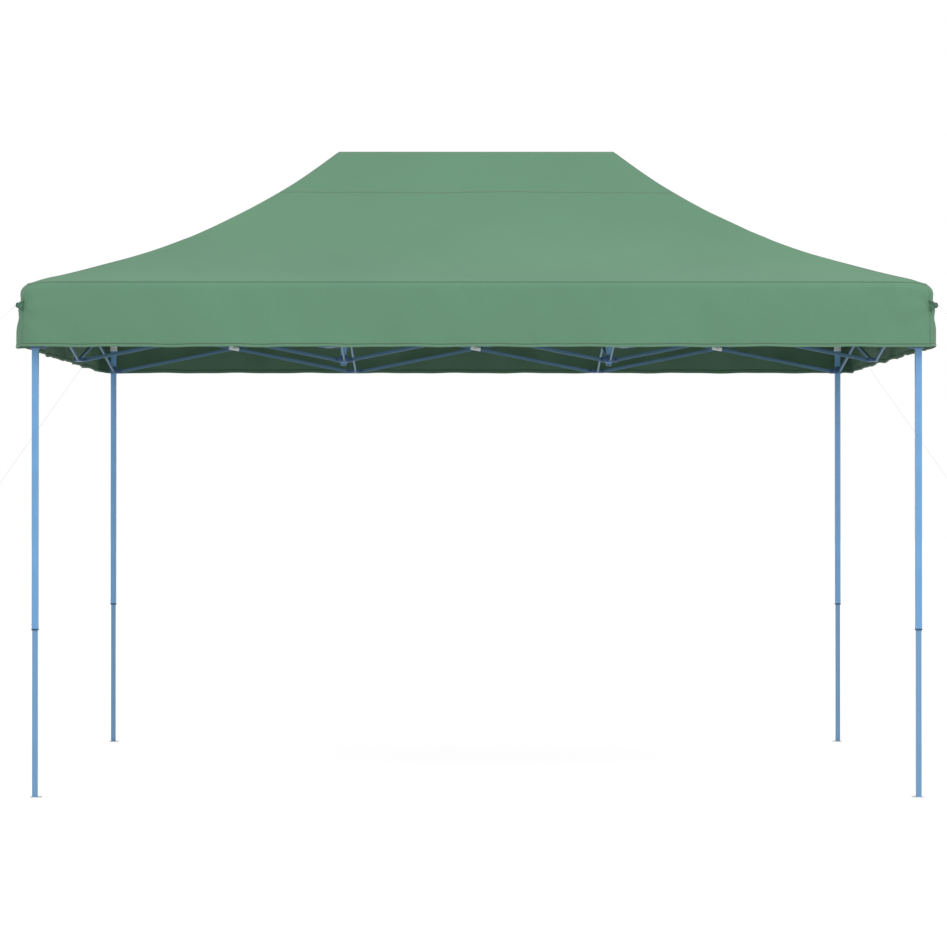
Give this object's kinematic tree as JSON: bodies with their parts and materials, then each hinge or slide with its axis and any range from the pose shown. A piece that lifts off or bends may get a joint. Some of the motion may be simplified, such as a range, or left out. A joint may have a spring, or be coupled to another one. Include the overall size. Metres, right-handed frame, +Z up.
{
  "type": "pop up gazebo",
  "caption": "Pop up gazebo: rectangular folding scissor frame on telescopic legs, with peak poles, guy ropes and a hipped fabric canopy with a valance.",
  "frame": {"origin": "on the ground at the middle of the plan, measured without the guy ropes", "axes": "+X along the long side, -Y towards the front, +Z up"},
  "size_m": [5.7406, 3.7526, 3.145],
  "materials": {
    "canopy_fabric": "coated woven polyester, matt",
    "leg_paint": "powder-coated light blue",
    "inner_leg_paint": "powder-coated light blue",
    "bar_paint": "powder-coated blue",
    "hub_plastic": "moulded nylon, matt",
    "slider_plastic": "moulded nylon, matt blue",
    "rope": "braided cord"
  },
  "bodies": {
    "canopy_and_hub": {"canopy": "canopy_fabric", "upper_hub_middle_mid_left": "hub_plastic"},
    "middle_truss_2_bar_down": {"middle_truss_2_bar_down": "bar_paint"},
    "middle_truss_2_bar_up": {"middle_truss_2_bar_up": "bar_paint"},
    "peak_pole_mid_left": {"peak_pole_mid_left": "leg_paint"},
    "upper_hub_middle_mid_right": {"upper_hub_middle_mid_right": "hub_plastic"},
    "peak_pole_mid_right": {"peak_pole_mid_right": "leg_paint"},
    "middle_truss_1_bar_down": {"middle_truss_1_bar_down": "bar_paint"},
    "middle_truss_1_bar_up": {"middle_truss_1_bar_up": "bar_paint"},
    "middle_truss_3_bar_down": {"middle_truss_3_bar_down": "bar_paint"},
    "middle_truss_3_bar_up": {"middle_truss_3_bar_up": "bar_paint"},
    "mid_left_truss_front_bar_down": {"mid_left_truss_front_bar_down": "bar_paint"},
    "mid_left_truss_front_bar_up": {"mid_left_truss_front_bar_up": "bar_paint"},
    "upper_hub_front_mid_left": {"upper_hub_front_mid_left": "hub_plastic"},
    "mid_left_truss_back_bar_down": {"mid_left_truss_back_bar_down": "bar_paint"},
    "mid_left_truss_back_bar_up": {"mid_left_truss_back_bar_up": "bar_paint"},
    "upper_hub_back_mid_left": {"upper_hub_back_mid_left": "hub_plastic"},
    "mid_right_truss_front_bar_down": {"mid_right_truss_front_bar_down": "bar_paint"},
    "mid_right_truss_front_bar_up": {"mid_right_truss_front_bar_up": "bar_paint"},
    "upper_hub_front_mid_right": {"upper_hub_front_mid_right": "hub_plastic"},
    "mid_right_truss_back_bar_down": {"mid_right_truss_back_bar_down": "bar_paint"},
    "mid_right_truss_back_bar_up": {"mid_right_truss_back_bar_up": "bar_paint"},
    "upper_hub_back_mid_right": {"upper_hub_back_mid_right": "hub_plastic"},
    "front_truss_1_bar_down": {"front_truss_1_bar_down": "bar_paint"},
    "front_truss_1_bar_up": {"front_truss_1_bar_up": "bar_paint"},
    "outer_leg_front_left": {"outer_leg_front_left": "leg_paint", "guy_rope_front_left": "rope"},
    "slider_front_left": {"slider_front_left": "slider_plastic"},
    "back_truss_1_bar_down": {"back_truss_1_bar_down": "bar_paint"},
    "back_truss_1_bar_up": {"back_truss_1_bar_up": "bar_paint"},
    "outer_leg_back_left": {"outer_leg_back_left": "leg_paint", "guy_rope_back_left": "rope"},
    "slider_back_left": {"slider_back_left": "slider_plastic"},
    "front_truss_3_bar_down": {"front_truss_3_bar_down": "bar_paint"},
    "front_truss_3_bar_up": {"front_truss_3_bar_up": "bar_paint"},
    "outer_leg_front_right": {"outer_leg_front_right": "leg_paint", "guy_rope_front_right": "rope"},
    "slider_front_right": {"slider_front_right": "slider_plastic"},
    "back_truss_3_bar_down": {"back_truss_3_bar_down": "bar_paint"},
    "back_truss_3_bar_up": {"back_truss_3_bar_up": "bar_paint"},
    "outer_leg_back_right": {"outer_leg_back_right": "leg_paint", "guy_rope_back_right": "rope"},
    "slider_back_right": {"slider_back_right": "slider_plastic"},
    "front_truss_2_bar_down": {"front_truss_2_bar_down": "bar_paint"},
    "front_truss_2_bar_up": {"front_truss_2_bar_up": "bar_paint"},
    "back_truss_2_bar_down": {"back_truss_2_bar_down": "bar_paint"},
    "back_truss_2_bar_up": {"back_truss_2_bar_up": "bar_paint"},
    "left_truss_front_bar_down": {"left_truss_front_bar_down": "bar_paint"},
    "left_truss_front_bar_up": {"left_truss_front_bar_up": "bar_paint"},
    "left_truss_back_bar_down": {"left_truss_back_bar_down": "bar_paint"},
    "left_truss_back_bar_up": {"left_truss_back_bar_up": "bar_paint"},
    "right_truss_front_bar_down": {"right_truss_front_bar_down": "bar_paint"},
    "right_truss_front_bar_up": {"right_truss_front_bar_up": "bar_paint"},
    "right_truss_back_bar_down": {"right_truss_back_bar_down": "bar_paint"},
    "right_truss_back_bar_up": {"right_truss_back_bar_up": "bar_paint"},
    "inner_leg_front_left": {"inner_leg_front_left": "inner_leg_paint"},
    "inner_leg_back_left": {"inner_leg_back_left": "inner_leg_paint"},
    "inner_leg_front_right": {"inner_leg_front_right": "inner_leg_paint"},
    "inner_leg_back_right": {"inner_leg_back_right": "inner_leg_paint"}
  },
  "joints": [
    {"name": "frame_fold", "type": "hinge", "parent": "canopy_and_hub", "child": "middle_truss_2_bar_down", "pos_m": [-0.64233, 0, 2.335], "axis": [0, 1, 0], "range_deg": [0, 74]},
    {"name": "middle_truss_2_middle_rivet", "type": "hinge", "parent": "middle_truss_2_bar_down", "child": "middle_truss_2_bar_up", "pos_m": [0, 0, 2.2075], "axis": [0, 1, 0], "range_deg": [-148, 0]},
    {"name": "peak_pole_mid_left_pivot", "type": "hinge", "parent": "middle_truss_2_bar_up", "child": "peak_pole_mid_left", "pos_m": [-0.64233, 0, 2.08], "axis": [0, 1, 0], "range_deg": [0, 74]},
    {"name": "upper_hub_middle_mid_right_pivot", "type": "hinge", "parent": "middle_truss_2_bar_up", "child": "upper_hub_middle_mid_right", "pos_m": [0.64233, 0, 2.335], "axis": [0, 1, 0], "range_deg": [0, 74]},
    {"name": "peak_pole_mid_right_pivot", "type": "hinge", "parent": "middle_truss_2_bar_down", "child": "peak_pole_mid_right", "pos_m": [0.64233, 0, 2.08], "axis": [0, 1, 0], "range_deg": [-74, 0]},
    {"name": "middle_truss_1_upper_pivot", "type": "hinge", "parent": "canopy_and_hub", "child": "middle_truss_1_bar_down", "pos_m": [-0.71433, 0, 2.335], "axis": [0, -1, 0], "range_deg": [0, 74]},
    {"name": "middle_truss_1_middle_rivet", "type": "hinge", "parent": "middle_truss_1_bar_down", "child": "middle_truss_1_bar_up", "pos_m": [-1.35667, 0, 2.2075], "axis": [0, -1, 0], "range_deg": [-148, 0]},
    {"name": "middle_truss_3_upper_pivot", "type": "hinge", "parent": "upper_hub_middle_mid_right", "child": "middle_truss_3_bar_down", "pos_m": [0.71433, 0, 2.335], "axis": [0, 1, 0], "range_deg": [0, 74]},
    {"name": "middle_truss_3_middle_rivet", "type": "hinge", "parent": "middle_truss_3_bar_down", "child": "middle_truss_3_bar_up", "pos_m": [1.35667, 0, 2.2075], "axis": [0, 1, 0], "range_deg": [-148, 0]},
    {"name": "mid_left_truss_front_upper_pivot", "type": "hinge", "parent": "canopy_and_hub", "child": "mid_left_truss_front_bar_down", "pos_m": [-0.67833, -0.04767, 2.335], "axis": [1, 0, 0], "range_deg": [0, 74]},
    {"name": "mid_left_truss_front_middle_rivet", "type": "hinge", "parent": "mid_left_truss_front_bar_down", "child": "mid_left_truss_front_bar_up", "pos_m": [-0.67833, -0.69, 2.2075], "axis": [1, 0, 0], "range_deg": [-148, 0]},
    {"name": "upper_hub_front_mid_left_pivot", "type": "hinge", "parent": "mid_left_truss_front_bar_up", "child": "upper_hub_front_mid_left", "pos_m": [-0.67833, -1.33233, 2.335], "axis": [1, 0, 0], "range_deg": [0, 74]},
    {"name": "mid_left_truss_back_upper_pivot", "type": "hinge", "parent": "canopy_and_hub", "child": "mid_left_truss_back_bar_down", "pos_m": [-0.67833, 0.04767, 2.335], "axis": [-1, 0, 0], "range_deg": [0, 74]},
    {"name": "mid_left_truss_back_middle_rivet", "type": "hinge", "parent": "mid_left_truss_back_bar_down", "child": "mid_left_truss_back_bar_up", "pos_m": [-0.67833, 0.69, 2.2075], "axis": [-1, 0, 0], "range_deg": [-148, 0]},
    {"name": "upper_hub_back_mid_left_pivot", "type": "hinge", "parent": "mid_left_truss_back_bar_up", "child": "upper_hub_back_mid_left", "pos_m": [-0.67833, 1.33233, 2.335], "axis": [-1, 0, 0], "range_deg": [0, 74]},
    {"name": "mid_right_truss_front_upper_pivot", "type": "hinge", "parent": "upper_hub_middle_mid_right", "child": "mid_right_truss_front_bar_down", "pos_m": [0.67833, -0.04767, 2.335], "axis": [1, 0, 0], "range_deg": [0, 74]},
    {"name": "mid_right_truss_front_middle_rivet", "type": "hinge", "parent": "mid_right_truss_front_bar_down", "child": "mid_right_truss_front_bar_up", "pos_m": [0.67833, -0.69, 2.2075], "axis": [1, 0, 0], "range_deg": [-148, 0]},
    {"name": "upper_hub_front_mid_right_pivot", "type": "hinge", "parent": "mid_right_truss_front_bar_up", "child": "upper_hub_front_mid_right", "pos_m": [0.67833, -1.33233, 2.335], "axis": [1, 0, 0], "range_deg": [0, 74]},
    {"name": "mid_right_truss_back_upper_pivot", "type": "hinge", "parent": "upper_hub_middle_mid_right", "child": "mid_right_truss_back_bar_down", "pos_m": [0.67833, 0.04767, 2.335], "axis": [-1, 0, 0], "range_deg": [0, 74]},
    {"name": "mid_right_truss_back_middle_rivet", "type": "hinge", "parent": "mid_right_truss_back_bar_down", "child": "mid_right_truss_back_bar_up", "pos_m": [0.67833, 0.69, 2.2075], "axis": [-1, 0, 0], "range_deg": [-148, 0]},
    {"name": "upper_hub_back_mid_right_pivot", "type": "hinge", "parent": "mid_right_truss_back_bar_up", "child": "upper_hub_back_mid_right", "pos_m": [0.67833, 1.33233, 2.335], "axis": [-1, 0, 0], "range_deg": [0, 74]},
    {"name": "front_truss_1_upper_pivot", "type": "hinge", "parent": "upper_hub_front_mid_left", "child": "front_truss_1_bar_down", "pos_m": [-0.71433, -1.38, 2.335], "axis": [0, -1, 0], "range_deg": [0, 74]},
    {"name": "front_truss_1_middle_rivet", "type": "hinge", "parent": "front_truss_1_bar_down", "child": "front_truss_1_bar_up", "pos_m": [-1.35667, -1.38, 2.2075], "axis": [0, -1, 0], "range_deg": [-148, 0]},
    {"name": "outer_leg_front_left_pivot", "type": "hinge", "parent": "front_truss_1_bar_up", "child": "outer_leg_front_left", "pos_m": [-1.999, -1.38, 2.335], "axis": [0, -1, 0], "range_deg": [0, 74], "deforming": ["guy_rope_front_left"]},
    {"name": "slider_front_left_pivot", "type": "hinge", "parent": "front_truss_1_bar_down", "child": "slider_front_left", "pos_m": [-1.999, -1.38, 2.08], "axis": [0, -1, 0], "range_deg": [-74, 0]},
    {"name": "back_truss_1_upper_pivot", "type": "hinge", "parent": "upper_hub_back_mid_left", "child": "back_truss_1_bar_down", "pos_m": [-0.71433, 1.38, 2.335], "axis": [0, -1, 0], "range_deg": [0, 74]},
    {"name": "back_truss_1_middle_rivet", "type": "hinge", "parent": "back_truss_1_bar_down", "child": "back_truss_1_bar_up", "pos_m": [-1.35667, 1.38, 2.2075], "axis": [0, -1, 0], "range_deg": [-148, 0]},
    {"name": "outer_leg_back_left_pivot", "type": "hinge", "parent": "back_truss_1_bar_up", "child": "outer_leg_back_left", "pos_m": [-1.999, 1.38, 2.335], "axis": [0, -1, 0], "range_deg": [0, 74], "deforming": ["guy_rope_back_left"]},
    {"name": "slider_back_left_pivot", "type": "hinge", "parent": "back_truss_1_bar_down", "child": "slider_back_left", "pos_m": [-1.999, 1.38, 2.08], "axis": [0, -1, 0], "range_deg": [-74, 0]},
    {"name": "front_truss_3_upper_pivot", "type": "hinge", "parent": "upper_hub_front_mid_right", "child": "front_truss_3_bar_down", "pos_m": [0.71433, -1.38, 2.335], "axis": [0, 1, 0], "range_deg": [0, 74]},
    {"name": "front_truss_3_middle_rivet", "type": "hinge", "parent": "front_truss_3_bar_down", "child": "front_truss_3_bar_up", "pos_m": [1.35667, -1.38, 2.2075], "axis": [0, 1, 0], "range_deg": [-148, 0]},
    {"name": "outer_leg_front_right_pivot", "type": "hinge", "parent": "front_truss_3_bar_up", "child": "outer_leg_front_right", "pos_m": [1.999, -1.38, 2.335], "axis": [0, 1, 0], "range_deg": [0, 74], "deforming": ["guy_rope_front_right"]},
    {"name": "slider_front_right_pivot", "type": "hinge", "parent": "front_truss_3_bar_down", "child": "slider_front_right", "pos_m": [1.999, -1.38, 2.08], "axis": [0, 1, 0], "range_deg": [-74, 0]},
    {"name": "back_truss_3_upper_pivot", "type": "hinge", "parent": "upper_hub_back_mid_right", "child": "back_truss_3_bar_down", "pos_m": [0.71433, 1.38, 2.335], "axis": [0, 1, 0], "range_deg": [0, 74]},
    {"name": "back_truss_3_middle_rivet", "type": "hinge", "parent": "back_truss_3_bar_down", "child": "back_truss_3_bar_up", "pos_m": [1.35667, 1.38, 2.2075], "axis": [0, 1, 0], "range_deg": [-148, 0]},
    {"name": "outer_leg_back_right_pivot", "type": "hinge", "parent": "back_truss_3_bar_up", "child": "outer_leg_back_right", "pos_m": [1.999, 1.38, 2.335], "axis": [0, 1, 0], "range_deg": [0, 74], "deforming": ["guy_rope_back_right"]},
    {"name": "slider_back_right_pivot", "type": "hinge", "parent": "back_truss_3_bar_down", "child": "slider_back_right", "pos_m": [1.999, 1.38, 2.08], "axis": [0, 1, 0], "range_deg": [-74, 0]},
    {"name": "front_truss_2_upper_pivot", "type": "hinge", "parent": "upper_hub_front_mid_left", "child": "front_truss_2_bar_down", "pos_m": [-0.64233, -1.38, 2.335], "axis": [0, 1, 0], "range_deg": [0, 74]},
    {"name": "front_truss_2_middle_rivet", "type": "hinge", "parent": "front_truss_2_bar_down", "child": "front_truss_2_bar_up", "pos_m": [0, -1.38, 2.2075], "axis": [0, 1, 0], "range_deg": [-148, 0]},
    {"name": "back_truss_2_upper_pivot", "type": "hinge", "parent": "upper_hub_back_mid_left", "child": "back_truss_2_bar_down", "pos_m": [-0.64233, 1.38, 2.335], "axis": [0, 1, 0], "range_deg": [0, 74]},
    {"name": "back_truss_2_middle_rivet", "type": "hinge", "parent": "back_truss_2_bar_down", "child": "back_truss_2_bar_up", "pos_m": [0, 1.38, 2.2075], "axis": [0, 1, 0], "range_deg": [-148, 0]},
    {"name": "left_truss_front_upper_pivot", "type": "hinge", "parent": "outer_leg_front_left", "child": "left_truss_front_bar_down", "pos_m": [-2.035, -1.33233, 2.335], "axis": [-1, 0, 0], "range_deg": [0, 74]},
    {"name": "left_truss_front_middle_rivet", "type": "hinge", "parent": "left_truss_front_bar_down", "child": "left_truss_front_bar_up", "pos_m": [-2.035, -0.69, 2.2075], "axis": [-1, 0, 0], "range_deg": [-148, 0]},
    {"name": "left_truss_back_upper_pivot", "type": "hinge", "parent": "outer_leg_back_left", "child": "left_truss_back_bar_down", "pos_m": [-2.035, 1.33233, 2.335], "axis": [1, 0, 0], "range_deg": [0, 74]},
    {"name": "left_truss_back_middle_rivet", "type": "hinge", "parent": "left_truss_back_bar_down", "child": "left_truss_back_bar_up", "pos_m": [-2.035, 0.69, 2.2075], "axis": [1, 0, 0], "range_deg": [-148, 0]},
    {"name": "right_truss_front_upper_pivot", "type": "hinge", "parent": "outer_leg_front_right", "child": "right_truss_front_bar_down", "pos_m": [2.035, -1.33233, 2.335], "axis": [-1, 0, 0], "range_deg": [0, 74]},
    {"name": "right_truss_front_middle_rivet", "type": "hinge", "parent": "right_truss_front_bar_down", "child": "right_truss_front_bar_up", "pos_m": [2.035, -0.69, 2.2075], "axis": [-1, 0, 0], "range_deg": [-148, 0]},
    {"name": "right_truss_back_upper_pivot", "type": "hinge", "parent": "outer_leg_back_right", "child": "right_truss_back_bar_down", "pos_m": [2.035, 1.33233, 2.335], "axis": [1, 0, 0], "range_deg": [0, 74]},
    {"name": "right_truss_back_middle_rivet", "type": "hinge", "parent": "right_truss_back_bar_down", "child": "right_truss_back_bar_up", "pos_m": [2.035, 0.69, 2.2075], "axis": [1, 0, 0], "range_deg": [-148, 0]},
    {"name": "leg_height_front_left", "type": "slide", "parent": "outer_leg_front_left", "child": "inner_leg_front_left", "axis": [0, 0, 1], "range_m": [0, 0.74]},
    {"name": "leg_height_back_left", "type": "slide", "parent": "outer_leg_back_left", "child": "inner_leg_back_left", "axis": [0, 0, 1], "range_m": [0, 0.74]},
    {"name": "leg_height_front_right", "type": "slide", "parent": "outer_leg_front_right", "child": "inner_leg_front_right", "axis": [0, 0, 1], "range_m": [0, 0.74]},
    {"name": "leg_height_back_right", "type": "slide", "parent": "outer_leg_back_right", "child": "inner_leg_back_right", "axis": [0, 0, 1], "range_m": [0, 0.74]}
  ],
  "couplings": [
    {"joint": "middle_truss_2_middle_rivet", "follows": "frame_fold", "ratio": -2},
    {"joint": "peak_pole_mid_left_pivot", "follows": "frame_fold", "ratio": 1},
    {"joint": "upper_hub_middle_mid_right_pivot", "follows": "frame_fold", "ratio": 1},
    {"joint": "peak_pole_mid_right_pivot", "follows": "frame_fold", "ratio": -1},
    {"joint": "middle_truss_1_upper_pivot", "follows": "frame_fold", "ratio": 1},
    {"joint": "middle_truss_1_middle_rivet", "follows": "frame_fold", "ratio": -2},
    {"joint": "middle_truss_3_upper_pivot", "follows": "frame_fold", "ratio": 1},
    {"joint": "middle_truss_3_middle_rivet", "follows": "frame_fold", "ratio": -2},
    {"joint": "mid_left_truss_front_upper_pivot", "follows": "frame_fold", "ratio": 1},
    {"joint": "mid_left_truss_front_middle_rivet", "follows": "frame_fold", "ratio": -2},
    {"joint": "upper_hub_front_mid_left_pivot", "follows": "frame_fold", "ratio": 1},
    {"joint": "mid_left_truss_back_upper_pivot", "follows": "frame_fold", "ratio": 1},
    {"joint": "mid_left_truss_back_middle_rivet", "follows": "frame_fold", "ratio": -2},
    {"joint": "upper_hub_back_mid_left_pivot", "follows": "frame_fold", "ratio": 1},
    {"joint": "mid_right_truss_front_upper_pivot", "follows": "frame_fold", "ratio": 1},
    {"joint": "mid_right_truss_front_middle_rivet", "follows": "frame_fold", "ratio": -2},
    {"joint": "upper_hub_front_mid_right_pivot", "follows": "frame_fold", "ratio": 1},
    {"joint": "mid_right_truss_back_upper_pivot", "follows": "frame_fold", "ratio": 1},
    {"joint": "mid_right_truss_back_middle_rivet", "follows": "frame_fold", "ratio": -2},
    {"joint": "upper_hub_back_mid_right_pivot", "follows": "frame_fold", "ratio": 1},
    {"joint": "front_truss_1_upper_pivot", "follows": "frame_fold", "ratio": 1},
    {"joint": "front_truss_1_middle_rivet", "follows": "frame_fold", "ratio": -2},
    {"joint": "outer_leg_front_left_pivot", "follows": "frame_fold", "ratio": 1},
    {"joint": "slider_front_left_pivot", "follows": "frame_fold", "ratio": -1},
    {"joint": "back_truss_1_upper_pivot", "follows": "frame_fold", "ratio": 1},
    {"joint": "back_truss_1_middle_rivet", "follows": "frame_fold", "ratio": -2},
    {"joint": "outer_leg_back_left_pivot", "follows": "frame_fold", "ratio": 1},
    {"joint": "slider_back_left_pivot", "follows": "frame_fold", "ratio": -1},
    {"joint": "front_truss_3_upper_pivot", "follows": "frame_fold", "ratio": 1},
    {"joint": "front_truss_3_middle_rivet", "follows": "frame_fold", "ratio": -2},
    {"joint": "outer_leg_front_right_pivot", "follows": "frame_fold", "ratio": 1},
    {"joint": "slider_front_right_pivot", "follows": "frame_fold", "ratio": -1},
    {"joint": "back_truss_3_upper_pivot", "follows": "frame_fold", "ratio": 1},
    {"joint": "back_truss_3_middle_rivet", "follows": "frame_fold", "ratio": -2},
    {"joint": "outer_leg_back_right_pivot", "follows": "frame_fold", "ratio": 1},
    {"joint": "slider_back_right_pivot", "follows": "frame_fold", "ratio": -1},
    {"joint": "front_truss_2_upper_pivot", "follows": "frame_fold", "ratio": 1},
    {"joint": "front_truss_2_middle_rivet", "follows": "frame_fold", "ratio": -2},
    {"joint": "back_truss_2_upper_pivot", "follows": "frame_fold", "ratio": 1},
    {"joint": "back_truss_2_middle_rivet", "follows": "frame_fold", "ratio": -2},
    {"joint": "left_truss_front_upper_pivot", "follows": "frame_fold", "ratio": 1},
    {"joint": "left_truss_front_middle_rivet", "follows": "frame_fold", "ratio": -2},
    {"joint": "left_truss_back_upper_pivot", "follows": "frame_fold", "ratio": 1},
    {"joint": "left_truss_back_middle_rivet", "follows": "frame_fold", "ratio": -2},
    {"joint": "right_truss_front_upper_pivot", "follows": "frame_fold", "ratio": 1},
    {"joint": "right_truss_front_middle_rivet", "follows": "frame_fold", "ratio": -2},
    {"joint": "right_truss_back_upper_pivot", "follows": "frame_fold", "ratio": 1},
    {"joint": "right_truss_back_middle_rivet", "follows": "frame_fold", "ratio": -2}
  ]
}
